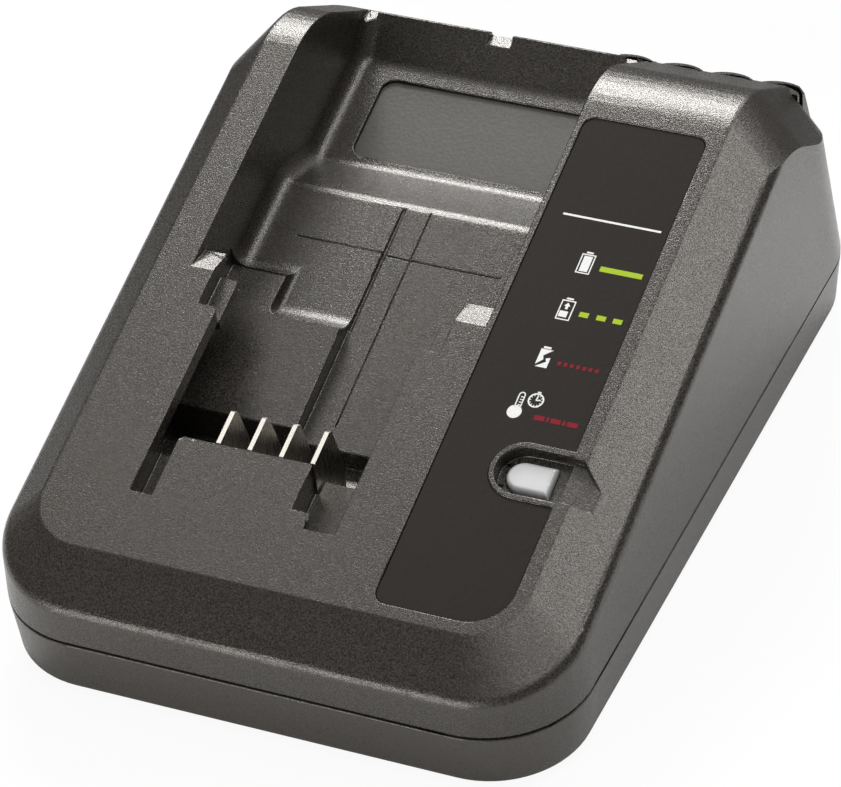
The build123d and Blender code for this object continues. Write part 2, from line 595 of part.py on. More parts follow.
with BuildPart() as upper_housing:
    add(form)
    add(rear_chamfer, mode=Mode.SUBTRACT)
    add(vent_lobes)
    add(inner, mode=Mode.SUBTRACT)
    for piece in (tub, window_pad, upper_bosses):
        add(piece)
    for cut in (bay_cut, block_opening, panel_recess, window_recess, channel, lens_hole,
                plate_recess, vent_openings, tongue_rebate):
        add(cut, mode=Mode.SUBTRACT)
    for cut in rim_notches:
        add(cut, mode=Mode.SUBTRACT)
    add(posts(BOSSES, SCREW_R + 0.02, SEAM_Z, SCREW_TOP), mode=Mode.SUBTRACT)

# ---------------------------------------------------------------- lower housing
def base_outline(z, inset):
    """Outline of the lower housing at height z; its walls lean in towards the floor."""
    return seam_outline(BASE_LEAN * (SEAM_Z - z) / (SEAM_Z - BASE_Z) + inset)


def base_block(z_from, z_to, inset):
    """The lower housing's tapered block between two heights."""
    with BuildPart() as block:
        for z in (z_from, z_to):
            with BuildSketch(Plane.XY.offset(z)):
                add(base_outline(z, inset))
        loft(ruled=True)
    return block.part


LOWER_TOP = SEAM_Z - SEAM_GAP / 2
with BuildPart() as tongue:
    with BuildSketch(Plane.XY.offset(LOWER_TOP)):
        add(seam_outline(TONGUE_INSET))
        add(seam_outline(WALL), mode=Mode.SUBTRACT)
    extrude(amount=TONGUE_Z - LOWER_TOP)
with BuildPart() as floor_slots:
    with BuildSketch(Plane.XY.offset(BASE_Z - 1)):
        with GridLocations(7.0, 34.0, 7, 2):
            SlotOverall(24.0, 2.4, rotation=90)
    extrude(amount=WALL + 2)
with BuildPart() as cord_hole:
    with BuildSketch(Plane.XZ.offset(-HALF_D - 2)):
        with Locations((CORD_X, CORD_Z)):
            Circle(BUSH_RADIUS)
    extrude(amount=8)

with BuildPart() as lower_housing:
    add(base_block(BASE_Z, LOWER_TOP, 0.0))
    fillet(lower_housing.faces().sort_by(Axis.Z)[0].edges(), 1.8)
    add(base_block(BASE_TOP, LOWER_TOP, WALL), mode=Mode.SUBTRACT)
    add(tongue)
    add(posts(BOSSES, BOSS_RADIUS, BASE_TOP, TONGUE_Z))
    add(posts(BOARD_POSTS, 3.0, BASE_TOP, BOARD_Z))
    add(posts(BOSSES, COUNTERBORE_R, 0.0, COUNTERBORE_TOP), mode=Mode.SUBTRACT)
    add(posts(BOSSES, SCREW_R + 0.2, 0.0, TOP), mode=Mode.SUBTRACT)
    add(posts(BOARD_POSTS, BOARD_SCREW_R + 0.02, BASE_TOP + 0.4, BOARD_Z), mode=Mode.SUBTRACT)
    add(posts(FEET, FOOT_RADIUS + 0.05, 0.0, BASE_Z + FOOT_SUNK), mode=Mode.SUBTRACT)
    add(floor_slots, mode=Mode.SUBTRACT)
    add(cord_hole, mode=Mode.SUBTRACT)

# ---------------------------------------------------------------- panel, plate, light pipe
with BuildPart() as indicator_panel:
    add(deck_slab(panel_outline(0.1), PANEL_DEEP - PANEL_THICK, PANEL_DEEP))
    add(deck_slab(window_outline(WINDOW_LEFT - WINDOW_RIM - 0.1, WINDOW_HALF + WINDOW_RIM + 0.1,
                                 50.0), 0.0, PANEL_DEEP + 1), mode=Mode.SUBTRACT)

with BuildPart() as bay_label_plate:
    with BuildSketch(plate_plane.offset(-PLATE_DEEP)):
        add(plate_outline(0.1))
    extrude(amount=PLATE_THICK)

lamp_y = LENS_Y + PAD_DEEP * DECK_SLOPE / deck_stretch   # the rod stands under the lens
with BuildPart() as light_pipe:
    add(deck_slab(window_outline(LENS_LEFT + 0.1, LENS_HALF - 0.1, LENS_RIGHT - 0.1),
                  WINDOW_DEEP - 1.4, PAD_DEEP))
    lens_face = light_pipe.faces().sort_by(Axis((0, 0, 0), (0, -DECK_SLOPE, 1)))[-1]
    fillet(lens_face.edges(), 0.9)
    add(deck_slab(window_outline(LENS_LEFT - 0.8, LENS_HALF + 0.8, LENS_RIGHT + 0.8),
                  PAD_DEEP, PAD_DEEP + 1.2))
    add(posts([(LENS_X, lamp_y)], 2.4, BOARD_TOP + 4.4, deck_z(lamp_y, PAD_DEEP + 0.8)))

with BuildPart() as indicator_led:
    add(posts([(LENS_X, lamp_y)], 2.9, BOARD_TOP, BOARD_TOP + 1.0))
    add(posts([(LENS_X, lamp_y)], 2.5, BOARD_TOP, BOARD_TOP + 4.0))
    fillet(indicator_led.faces().sort_by(Axis.Z)[-1].edges(), 1.6)

# ---------------------------------------------------------------- terminals
blade_profile = [
    (-55.0, BOARD_Z - 1.0), (-53.6, BOARD_Z - 1.0), (-53.6, PIT_FLOOR + 1.0),
    (-37.6, PIT_FLOOR + 1.0), (-37.6, deck_z(-41.4, 10.7)), (-41.1, deck_z(-41.1, 1.0)),
    (-42.2, deck_z(-42.2)), (-49.4, deck_z(-49.4)), (-49.4, deck_z(-49.4, BLADE_HEEL)),
    (-55.0, deck_z(-55.0, BLADE_HEEL))]


def blade(index):
    """One flat contact blade standing across the block, with a pin for the board."""
    left = BLADE_FIRST + BLADE_PITCH * index - BLADE_THICK / 2
    return side_prism(blade_profile, left, left + BLADE_THICK)


with BuildPart() as terminal_block:
    add(side_prism([(BLOCK_FRONT, BOARD_TOP), (BLOCK_REAR, BOARD_TOP),
                    (BLOCK_REAR, deck_z(BLOCK_REAR, BLOCK_DEPTH)),
                    (BLOCK_FRONT, deck_z(BLOCK_FRONT, BLOCK_DEPTH))], BLOCK_LEFT, BLOCK_RIGHT))
    for index in range(len(BLADE_NAMES)):
        add(blade(index), mode=Mode.SUBTRACT)

# ---------------------------------------------------------------- circuit board
with BuildPart() as circuit_board:
    with BuildSketch(Plane.XY.offset(BOARD_Z)):
        with Locations(((BOARD_LEFT + BOARD_RIGHT) / 2, (BOARD_FRONT + BOARD_REAR) / 2)):
            RectangleRounded(BOARD_RIGHT - BOARD_LEFT, BOARD_REAR - BOARD_FRONT, 2.0)
        with Locations(*BOARD_POSTS):
            Circle(BOARD_SCREW_R + 0.2, mode=Mode.SUBTRACT)
    extrude(amount=BOARD_THICK)
    for index in range(len(BLADE_NAMES)):
        add(blade(index), mode=Mode.SUBTRACT)

CORE_X, CORE_Y = 30.0, 20.0
with BuildPart() as transformer_core:
    add(box_between((CORE_X - 14, CORE_X + 14), (CORE_Y - 6, CORE_Y + 6),
                    (BOARD_TOP, BOARD_TOP + 22)))
    for side in (-1, 1):
        window = sorted((CORE_X + side * 4.5, CORE_X + side * 9.0))
        add(box_between(window, (CORE_Y - 7, CORE_Y + 7), (BOARD_TOP + 4.5, BOARD_TOP + 17.5)),
            mode=Mode.SUBTRACT)

with BuildPart() as transformer_winding:
    with BuildSketch(Plane.XY.offset(BOARD_TOP + 4.5)):
        with Locations((CORE_X, CORE_Y)):
            RectangleRounded(18.0, 24.0, 5.0)
            Rectangle(9.0, 12.0, mode=Mode.SUBTRACT)
    extrude(amount=13.0)

with BuildPart() as bulk_capacitor:
    add(posts([(33.0, 49.0)], 8.0, BOARD_TOP, BOARD_TOP + 25))
    fillet(bulk_capacitor.faces().sort_by(Axis.Z)[-1].edges(), 1.0)

with BuildPart() as output_capacitors:
    add(posts([(26.0, -27.0), (38.0, -27.0)], 5.0, BOARD_TOP, BOARD_TOP + 14))
    fillet(output_capacitors.faces().filter_by(Axis.Z).group_by(Axis.Z)[-1].edges(), 0.8)

SINK_Y = -9.0
with BuildPart() as heat_sink:
    add(box_between((22, 43), (SINK_Y, SINK_Y + 2), (BOARD_TOP, BOARD_TOP + 24)))
    for i in range(5):
        fin_x = 22 + 5.0 * i
        add(box_between((fin_x, fin_x + 1.0), (SINK_Y + 2, SINK_Y + 9), (BOARD_TOP, BOARD_TOP + 24)))

with BuildPart() as switching_transistor:
    add(box_between((27.4, 37.4), (SINK_Y - 4.5, SINK_Y), (BOARD_TOP + 5, BOARD_TOP + 14)))
    add(box_between((27.4, 37.4), (SINK_Y - 1.3, SINK_Y), (BOARD_TOP + 14, BOARD_TOP + 20)))
    for i in range(3):
        leg_x = 29.5 + 2.54 * i
        add(box_between((leg_x, leg_x + 0.8), (SINK_Y - 3, SINK_Y - 2.5), (BOARD_TOP, BOARD_TOP + 5)))

with BuildPart() as bridge_rectifier:
    add(box_between((-8, 7), (42, 45.5), (BOARD_TOP + 3, BOARD_TOP + 14)))
    for i in range(4):
        add(box_between((-6.8 + 4 * i, -6.0 + 4 * i), (43.4, 44.1), (BOARD_TOP, BOARD_TOP + 3)))

with BuildPart() as common_mode_choke:
    with BuildSketch(Plane.XZ.offset(-48)):
        with Locations((-22.5, BOARD_TOP + 3.6)):
            Circle(3.6)
    revolve(axis=Axis((-30, 48, 0), (0, 0, 1)))

with BuildPart() as fuse:
    with BuildSketch(Plane.YZ.offset(4)):
        with Locations((64, BOARD_TOP + 3.2)):
            Circle(2.6)
    extrude(amount=17)
    for x in (4, 17):
        add(box_between((x, x + 4), (61, 67), (BOARD_TOP, BOARD_TOP + 3.2)))

with BuildPart() as x_capacitor:
    add(box_between((-17, 1), (55, 63), (BOARD_TOP, BOARD_TOP + 13)))
    fillet(x_capacitor.edges().filter_by(Axis.Z), 1.0)

with BuildPart() as mains_connector:
    add(box_between((24, 36), (60.5, 68.5), (BOARD_TOP, BOARD_TOP + 9)))
    for x in (27, 33):
        add(posts([(x, 64.5)], 1.8, BOARD_TOP + 6, BOARD_TOP + 12), mode=Mode.SUBTRACT)

with BuildPart() as control_chip:
    add(box_between((-17, -7), (-42, -34.5), (BOARD_TOP + 0.2, BOARD_TOP + 2.4)))
    for i in range(8):
        leg_x = -16.4 + 1.2 * i
        add(box_between((leg_x, leg_x + 0.5), (-43.2, -33.3), (BOARD_TOP, BOARD_TOP + 0.6)))

with BuildPart() as chip_resistors:
    for i in range(6):
        add(box_between((-30 + 7 * i, -26.8 + 7 * i), (-24, -22.4), (BOARD_TOP, BOARD_TOP + 0.6)))

# ---------------------------------------------------------------- inlet, screws, feet
with BuildPart() as cord_inlet_bush:
    with BuildSketch(Plane.XZ.offset(-HALF_D + 0.3)):
        with Locations((CORD_X, CORD_Z)):
            Circle(BUSH_RADIUS)
    extrude(amount=5.0)
    with BuildSketch(Plane.XZ.offset(-HALF_D + 3.5)):
        with Locations((CORD_X, CORD_Z)):
            Circle(BUSH_FLANGE)
    extrude(amount=1.8)
    with BuildSketch(Plane.XZ.offset(-HALF_D)):
        with Locations((CORD_X, CORD_Z)):
            Circle(CORD_BORE)
    extrude(amount=8.0, mode=Mode.SUBTRACT)

with BuildPart() as housing_screws:
    add(posts(BOSSES, SCREW_R, COUNTERBORE_TOP, SCREW_TOP - 1))
    add(posts(BOSSES, COUNTERBORE_R - 0.3, COUNTERBORE_TOP - 2.2, COUNTERBORE_TOP))
    for x, y in BOSSES:
        add(box_between((x - 1.6, x + 1.6), (y - 0.4, y + 0.4), (0, COUNTERBORE_TOP - 0.9)),
            mode=Mode.SUBTRACT)
        add(box_between((x - 0.4, x + 0.4), (y - 1.6, y + 1.6), (0, COUNTERBORE_TOP - 0.9)),
            mode=Mode.SUBTRACT)

with BuildPart() as board_screws:
    add(posts(BOARD_POSTS, BOARD_SCREW_R, BASE_TOP + 0.8, BOARD_TOP))
    add(posts(BOARD_POSTS, 2.4, BOARD_TOP, BOARD_TOP + 1.6))

with BuildPart() as rubber_feet:
    add(posts(FEET, FOOT_RADIUS, 0.0, BASE_Z + FOOT_SUNK))
    fillet(rubber_feet.faces().filter_by(Axis.Z).group_by(Axis.Z)[0].edges(), 0.4)

# ---------------------------------------------------------------- labels and files
upper_housing.part.label = "upper_housing"
export_step(upper_housing.part, "parts/upper_housing.step")
lower_housing.part.label = "lower_housing"
export_step(lower_housing.part, "parts/lower_housing.step")
indicator_panel.part.label = "indicator_panel"
export_step(indicator_panel.part, "parts/indicator_panel.step")
bay_label_plate.part.label = "bay_label_plate"
export_step(bay_label_plate.part, "parts/bay_label_plate.step")
light_pipe.part.label = "light_pipe"
export_step(light_pipe.part, "parts/light_pipe.step")
indicator_led.part.label = "indicator_led"
export_step(indicator_led.part, "parts/indicator_led.step")
terminal_block.part.label = "terminal_block"
export_step(terminal_block.part, "parts/terminal_block.step")
circuit_board.part.label = "circuit_board"
export_step(circuit_board.part, "parts/circuit_board.step")
transformer_core.part.label = "transformer_core"
export_step(transformer_core.part, "parts/transformer_core.step")
transformer_winding.part.label = "transformer_winding"
export_step(transformer_winding.part, "parts/transformer_winding.step")
bulk_capacitor.part.label = "bulk_capacitor"
export_step(bulk_capacitor.part, "parts/bulk_capacitor.step")
output_capacitors.part.label = "output_capacitors"
export_step(output_capacitors.part, "parts/output_capacitors.step")
heat_sink.part.label = "heat_sink"
export_step(heat_sink.part, "parts/heat_sink.step")
switching_transistor.part.label = "switching_transistor"
export_step(switching_transistor.part, "parts/switching_transistor.step")
bridge_rectifier.part.label = "bridge_rectifier"
export_step(bridge_rectifier.part, "parts/bridge_rectifier.step")
common_mode_choke.part.label = "common_mode_choke"
export_step(common_mode_choke.part, "parts/common_mode_choke.step")
fuse.part.label = "fuse"
export_step(fuse.part, "parts/fuse.step")
x_capacitor.part.label = "x_capacitor"
export_step(x_capacitor.part, "parts/x_capacitor.step")
mains_connector.part.label = "mains_connector"
export_step(mains_connector.part, "parts/mains_connector.step")
control_chip.part.label = "control_chip"
export_step(control_chip.part, "parts/control_chip.step")
chip_resistors.part.label = "chip_resistors"
export_step(chip_resistors.part, "parts/chip_resistors.step")
cord_inlet_bush.part.label = "cord_inlet_bush"
export_step(cord_inlet_bush.part, "parts/cord_inlet_bush.step")
housing_screws.part.label = "housing_screws"
export_step(housing_screws.part, "parts/housing_screws.step")
board_screws.part.label = "board_screws"
export_step(board_screws.part, "parts/board_screws.step")
rubber_feet.part.label = "rubber_feet"
export_step(rubber_feet.part, "parts/rubber_feet.step")
for index, name in enumerate(BLADE_NAMES):
    contact = blade(index)
    contact.label = name
    export_step(contact, f"parts/{name}.step")
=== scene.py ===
# %% [markdown]
# A desk-top charger for slide-on tool batteries: two moulded housings, a sloping deck with
# a deep bay, a printed indicator panel, four contact blades and the electronics inside.
# The packed solids are loaded first and stay where they are. This lesson dresses them:
# it rounds the housings' edges, prints the panel and gives every piece its own finish.

# %% Load the solids
from math import cos, pi, radians, sin

import bmesh
import bpy
import numpy as np
from mathutils import Matrix, Vector


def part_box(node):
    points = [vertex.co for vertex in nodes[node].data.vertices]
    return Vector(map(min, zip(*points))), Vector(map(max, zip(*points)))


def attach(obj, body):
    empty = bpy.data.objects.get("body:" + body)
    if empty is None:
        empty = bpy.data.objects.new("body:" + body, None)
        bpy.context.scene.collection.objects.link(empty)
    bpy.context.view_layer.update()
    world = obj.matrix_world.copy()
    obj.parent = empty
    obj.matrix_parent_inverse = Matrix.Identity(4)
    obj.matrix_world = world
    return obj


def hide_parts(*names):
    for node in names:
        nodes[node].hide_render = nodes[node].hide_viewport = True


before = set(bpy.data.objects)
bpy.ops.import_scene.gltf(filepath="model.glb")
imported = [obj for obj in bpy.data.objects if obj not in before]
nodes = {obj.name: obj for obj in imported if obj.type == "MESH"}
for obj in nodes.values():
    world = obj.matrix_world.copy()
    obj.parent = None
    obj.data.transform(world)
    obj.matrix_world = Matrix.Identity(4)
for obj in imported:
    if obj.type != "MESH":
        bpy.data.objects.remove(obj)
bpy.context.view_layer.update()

# %% [markdown]
# A long lens about a metre away keeps the charger's proportions. The camera is placed by
# its direction round the object, its height above the horizon, its distance and a few
# degrees of roll. A Track To constraint would aim it too, but it can't hold the roll, so
# the camera's matrix is built from those angles.

# %% Camera
MM = 0.001
AIM = np.array([7.574, -22.524, 36.85]) * MM
TURN, RISE, ROLL = radians(26.675), radians(38.496), radians(-5.404)
DISTANCE = 903.23 * MM
SENSOR_WIDTH, FOCAL_LENGTH = 36.0, 200.32       # mm

back = np.array([sin(TURN) * cos(RISE), -cos(TURN) * cos(RISE), sin(RISE)])
level = np.array([cos(TURN), sin(TURN), 0.0])
above = np.cross(back, level)
right = cos(ROLL) * level + sin(ROLL) * above
up = cos(ROLL) * above - sin(ROLL) * level

lens = bpy.data.cameras.new("camera")
lens.sensor_fit = "HORIZONTAL"
lens.sensor_width = SENSOR_WIDTH
lens.lens = FOCAL_LENGTH
lens.clip_start = 0.05
camera = bpy.data.objects.new("camera", lens)
bpy.context.collection.objects.link(camera)
place = np.eye(4)
place[:3, 0], place[:3, 1], place[:3, 2] = right, up, back
place[:3, 3] = AIM + back * DISTANCE
camera.matrix_world = Matrix(place.tolist())
bpy.context.scene.camera = camera
bpy.context.scene.view_settings.view_transform = "Standard"
print("camera stands at", np.round(place[:3, 3], 3), "m")

# %% [markdown]
# Shader maths reads best as arithmetic, but Blender builds it from Math nodes. A Wire is
# one output of a node, and adding or multiplying wires adds the Math nodes that do it. The
# nodes could be linked one by one, at the price of several lines for every sum.

# %% Wires
class Wire:
    """One output socket that can stand in an arithmetic expression."""

    def __init__(self, finish, socket):
        self.finish = finish
        self.socket = socket

    def maths(self, operation, *values):
        return self.finish.node("ShaderNodeMath", {"operation": operation},
                                dict(enumerate(values)))

    def __add__(self, other):
        return self.maths("ADD", self, other)

    def __sub__(self, other):
        return self.maths("SUBTRACT", self, other)

    def __rsub__(self, other):
        return self.maths("SUBTRACT", other, self)

    def __mul__(self, other):
        return self.maths("MULTIPLY", self, other)

    def __abs__(self):
        return self.maths("ABSOLUTE", self)

    def over(self, edge):
        """1 where this is above edge, else 0."""
        return self.maths("GREATER_THAN", self, edge)

    def rise(self, low, high):
        """0 at low, 1 at high and a smooth ramp between them."""
        return self.finish.node("ShaderNodeMapRange", {"interpolation_type": "SMOOTHSTEP"},
                                {"Value": self, "From Min": low, "From Max": high})

    def wave(self):
        return self.maths("SINE", self)

    def higher(self, other):
        return self.maths("MAXIMUM", self, other)


print("a wire knows", [name for name in vars(Wire) if not name.startswith("_")])

# %% [markdown]
# A Finish is a material in the making. Its node() method adds any node from its type, its
# settings and its sockets. Constants go straight onto the Principled shader, and only what
# varies over the surface is wired to it, so that each material stays easy to read.

# %% Finishes
COLOUR_A, COLOUR_B, COLOUR_OUT = 6, 7, 2        # a Mix node's sockets for colours


class Finish:
    """A material being built round its Principled shader."""

    def __init__(self, name, **constants):
        self.material = bpy.data.materials.new(name)
        self.material.use_nodes = True
        self.tree = self.material.node_tree
        self.shader = self.tree.nodes["Principled BSDF"]
        for socket, value in constants.items():
            self.shader.inputs[socket.replace("_", " ")].default_value = value
        self.point = self.node("ShaderNodeTexCoord", {}, {}, "Object")

    def node(self, kind, settings, sockets, output=0):
        """Adds one node: settings first, then a value or a wire for each socket."""
        made = self.tree.nodes.new(kind)
        for name, value in settings.items():
            setattr(made, name, value)
        for name, value in sockets.items():
            if isinstance(value, Wire):
                self.tree.links.new(value.socket, made.inputs[name])
            else:
                made.inputs[name].default_value = value
        return Wire(self, made.outputs[output])

    def feed(self, socket, wire):
        self.tree.links.new(wire.socket, self.shader.inputs[socket])

    def axes(self):
        """The object coordinates as three wires, in metres."""
        parts = self.node("ShaderNodeSeparateXYZ", {}, {"Vector": self.point})
        return [Wire(self, parts.socket.node.outputs[i]) for i in range(3)]

    def noise(self, scale, detail=2.0, roughness=0.5, vector=None):
        """Cloudy noise around 0.5; scale counts its cells per metre."""
        return self.node("ShaderNodeTexNoise", {},
                         {"Vector": vector or self.point, "Scale": scale, "Detail": detail,
                          "Roughness": roughness}, "Fac")

    def blend(self, share, first, second):
        """A colour from first to second as share goes from 0 to 1."""
        return self.node("ShaderNodeMix", {"data_type": "RGBA"},
                         {"Factor": share, COLOUR_A: first, COLOUR_B: second}, COLOUR_OUT)

    def bump(self, height, distance):
        """Relief of that distance in metres, fed to the shader's Normal."""
        self.feed("Normal", self.node("ShaderNodeBump", {},
                                      {"Height": height, "Distance": distance,
                                       "Strength": 1.0}, "Normal"))


def colour(red, green, blue):
    """A colour given as three sRGB numbers up to 255, made linear for the shader."""
    srgb = np.array([red, green, blue]) / 255
    linear = np.where(srgb <= 0.04045, srgb / 12.92, ((srgb + 0.055) / 1.055) ** 2.4)
    return (*linear.tolist(), 1.0)


def neutral(value):
    """A grey given as one linear number."""
    return (value, value, value, 1.0)


print("warm charcoal is", np.round(colour(60, 57, 54), 4))

# %% [markdown]
# Charcoal plastic is nearly black, so a face is about as bright as what it mirrors into
# the camera. A single lamp would be mirrored by one face and leave the others dull. Here
# six soft lamps hang near the places that the main faces mirror, so that the brightness of
# one face can be set without changing much on the others.

# %% Lamps
LAMPS = (                                       # name, place (m), size (m), power (W)
    ("lamp_behind", (-0.52, 1.08, 0.99), (0.6, 0.40), 19.0),        # for the crown
    ("lamp_behind_right", (0.22, 1.26, 0.93), (0.45, 0.3), 4.0),    # for its shoulder
    ("lamp_above_left", (-0.68, 0.33, 1.29), (0.6, 0.6), 1.7),      # for the deck
    ("lamp_overhead", (0.20, -0.28, 1.44), (0.32, 0.32), 2.8),      # for the front corner
    ("lamp_right", (0.58, 0.46, 1.31), (0.4, 0.4), 5.4),            # for the right band
    ("lamp_front", (-0.5, -1.5, 0.42), (0.8, 0.4), 9.0))            # for the front, from low


def soft_lamp(name, spot, size, power):
    """A rectangular lamp at spot, in metres, turned to face the charger."""
    light = bpy.data.lights.new(name, "AREA")
    light.shape = "RECTANGLE"
    light.size, light.size_y = size
    light.energy = power
    lamp = bpy.data.objects.new(name, light)
    bpy.context.collection.objects.link(lamp)
    lamp.location = spot
    lamp.rotation_euler = (Vector(spot) - Vector(AIM)).to_track_quat("Z", "Y").to_euler()


for lamp_row in LAMPS:
    soft_lamp(*lamp_row)
print("lamps:", len(bpy.data.lights), "power:", round(sum(row[3] for row in LAMPS), 1), "W")

# %% [markdown]
# The charger stands on a sheet of pale paper under a faint, even sky. The slope behind the
# crown mirrors the floor further back, so the paper turns dark there for every ray of
# light. Rays that come straight from the camera see it almost white all over: a Mix Shader
# trades most of the lit paper for a plain glow, and what is left keeps the shadow.

# %% Floor and sky
FLOOR_HALF = 4.0                                # metres
DARK_FROM, DARK_TO = 0.10, 0.22                 # metres behind the charger's middle
WHITE_NEAR, WHITE_BEYOND = 0.93, 1.0            # share of the glow that the camera sees

floor_finish = Finish("pale_floor", Roughness=0.9, Specular_IOR_Level=0.1)
paper = floor_finish.blend(floor_finish.noise(3.0), neutral(0.91), neutral(0.95))
beyond = floor_finish.axes()[1].rise(DARK_FROM, DARK_TO)
floor_finish.feed("Base Color", floor_finish.blend(beyond, paper, neutral(0.08)))
glow = floor_finish.node("ShaderNodeEmission", {}, {"Color": neutral(1.0), "Strength": 1.0})
from_camera = floor_finish.node("ShaderNodeLightPath", {}, {}, "Is Camera Ray")
share = from_camera * (beyond * (WHITE_BEYOND - WHITE_NEAR) + WHITE_NEAR)
lit = Wire(floor_finish, floor_finish.shader.outputs["BSDF"])
seen = floor_finish.node("ShaderNodeMixShader", {}, {0: share, 1: lit, 2: glow})
floor_finish.tree.links.new(seen.socket,
                            floor_finish.tree.nodes["Material Output"].inputs["Surface"])

corners = np.array([(-1, -1, 0), (1, -1, 0), (1, 1, 0), (-1, 1, 0)]) * FLOOR_HALF
floor_mesh = bpy.data.meshes.new("floor")
floor_mesh.from_pydata(corners.tolist(), [], [(0, 1, 2, 3)])
floor_mesh.materials.append(floor_finish.material)
floor = bpy.data.objects.new("floor", floor_mesh)
bpy.context.collection.objects.link(floor)

world = bpy.data.worlds.new("studio")
bpy.context.scene.world = world
world.use_nodes = True
sky = world.node_tree.nodes["Background"].inputs
sky["Color"].default_value = neutral(1.0)
sky["Strength"].default_value = 0.20
print("floor is", 2 * FLOOR_HALF, "m across")

# %% [markdown]
# A solid from the CAD program arrives as loose triangles with knife-sharp edges. No moulded
# part has those: even a crisp edge is rounded by a fifth of a millimetre, and that small
# radius is what catches the light. The CAD could round them too, but that would multiply
# its faces. So each housing gets a copy here whose corners are welded. Cuts 6 mm apart
# break up the long splinters on its flat faces, which would spoil the shading next to a
# rounded edge. Then a Bevel modifier rounds the sharp edges that carry a weight.

# %% Welding and cutting
STRIP = 6 * MM                                  # width of the strips
FIRST_CUT = 0.37                                # of a strip: keeps cuts off the solid's edges
WELD = 2e-6                                     # metres: corners this close are one corner


def cut_in_strips(shape, axis, low, high):
    """Cuts the mesh by planes square to an axis, one strip apart."""
    normal = [float(i == axis) for i in range(3)]
    for offset in np.arange(low + FIRST_CUT * STRIP, high, STRIP):
        point = [offset * n for n in normal]
        bmesh.ops.bisect_plane(shape, geom=shape.verts[:] + shape.edges[:] + shape.faces[:],
                               dist=WELD, plane_co=point, plane_no=normal)


def welded(node):
    """The node's triangles, welded at their corners and cut both ways."""
    shape = bmesh.new()
    shape.from_mesh(nodes[node].data)
    bmesh.ops.remove_doubles(shape, verts=shape.verts, dist=WELD)
    low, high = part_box(node)
    for axis in (0, 1):
        cut_in_strips(shape, axis, low[axis], high[axis])
    bmesh.ops.triangulate(shape, faces=shape.faces)
    return shape


print("strips are", STRIP / MM, "mm wide")

# %% [markdown]
# An edge is rounded if its two faces meet at more than a few degrees. The shallow facets of
# the crown's shoulders and the thin crescents of the vents are left out: there is no room
# there for a radius, and the modifier would throw spikes. The weight on each edge says
# which is which, and a Weighted Normal modifier keeps the flat faces looking flat.

# %% Rounded copies of the housings
BAY_LEFT, BAY_RIGHT = -47.0, 20.5               # mm: the bay and its walls lie between
SHOULDER_FRONT = 38.5                           # mm: the shoulders stand beside the bay
VENT_FRONT, VENT_LEFT = 70.0, 8.0               # mm


def has_room(middle):
    """True away from the crown's shoulders and the vents; middle is in mm."""
    shoulder = middle[1] > SHOULDER_FRONT and not BAY_LEFT < middle[0] < BAY_RIGHT
    vent = middle[1] > VENT_FRONT and middle[0] > VENT_LEFT
    return not shoulder and not vent


def welded_copy(node, piece, radius, sharp_from):
    """A smooth copy of the node, its edges sharper than sharp_from degrees rounded."""
    shape = welded(node)
    weight = shape.edges.layers.float.new("bevel_weight_edge")
    for face in shape.faces:
        face.smooth = True
    for edge in shape.edges:
        sharp = edge.calc_face_angle(0.0) > radians(sharp_from)
        edge.smooth = not sharp
        middle = (edge.verts[0].co + edge.verts[1].co) / (2 * MM)
        edge[weight] = float(sharp and has_room(middle))
    mesh = bpy.data.meshes.new(piece)
    shape.to_mesh(mesh)
    shape.free()
    copy = bpy.data.objects.new(piece, mesh)
    bpy.context.collection.objects.link(copy)
    rounding = copy.modifiers.new("rounding", "BEVEL")
    rounding.width = radius
    rounding.segments = 2
    rounding.limit_method = "WEIGHT"
    rounding.use_clamp_overlap = False
    even = copy.modifiers.new("even_shading", "WEIGHTED_NORMAL")
    even.keep_sharp = True
    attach(copy, "root")
    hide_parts(node)
    print(node, len(nodes[node].data.polygons), "triangles ->", len(mesh.polygons), "faces")
    return copy


upper = welded_copy("upper_housing", "upper_housing_moulding", 0.22 * MM, 20)
lower = welded_copy("lower_housing", "lower_housing_moulding", 0.25 * MM, 26)

# %% [markdown]
# Both housings are moulded in ABS, in a warm charcoal. The steel mould was spark-eroded,
# which leaves a field of tiny pits about a third of a millimetre apart, shallower and more
# even on the lower housing. A picture of the grain would blur close up, so one fine noise
# makes the relief, the change of colour and the change of gloss. A slow one varies the
# gloss from place to place.

# %% Moulded ABS
GRAIN_GLOSS, SLOW_GLOSS = 0.12, 0.05            # how far the roughness swings


def give(piece, finish):
    """Puts the finish on every face of the piece."""
    piece.data.materials.clear()
    piece.data.materials.append(finish.material)
    print(piece.name, "wears", finish.material.name)


def moulded(name, dark, light, rough, relief):
    """Charcoal ABS: each pit has a little more or less pigment and gloss than the next."""
    finish = Finish(name, IOR=1.72, Specular_Tint=(1.0, 0.96, 0.91, 1.0))
    pits = finish.noise(3000.0, roughness=0.7)
    broad = finish.noise(60.0, detail=3.0)
    speck = pits.rise(0.36, 0.66)
    finish.feed("Base Color", finish.blend(speck, dark, light))
    finish.feed("Roughness",
                broad * SLOW_GLOSS + (rough - GRAIN_GLOSS / 2) + speck * GRAIN_GLOSS)
    finish.bump(pits, relief)
    return finish


give(upper, moulded("moulded_abs", colour(22, 19, 16), colour(60, 56, 51), 0.25, 0.00008))
give(lower, moulded("lower_moulded_abs", colour(52, 49, 45), colour(64, 60, 55), 0.30,
                    0.00007))

# %% [markdown]
# The long dark panel is a sheet of polyester film glued into a shallow recess. Its face is
# satin, with the faintest orange peel. The grey plate at the rear of the bay is a paler
# sheet with a finer grain. Each is a plain flat solid, so a material is enough.

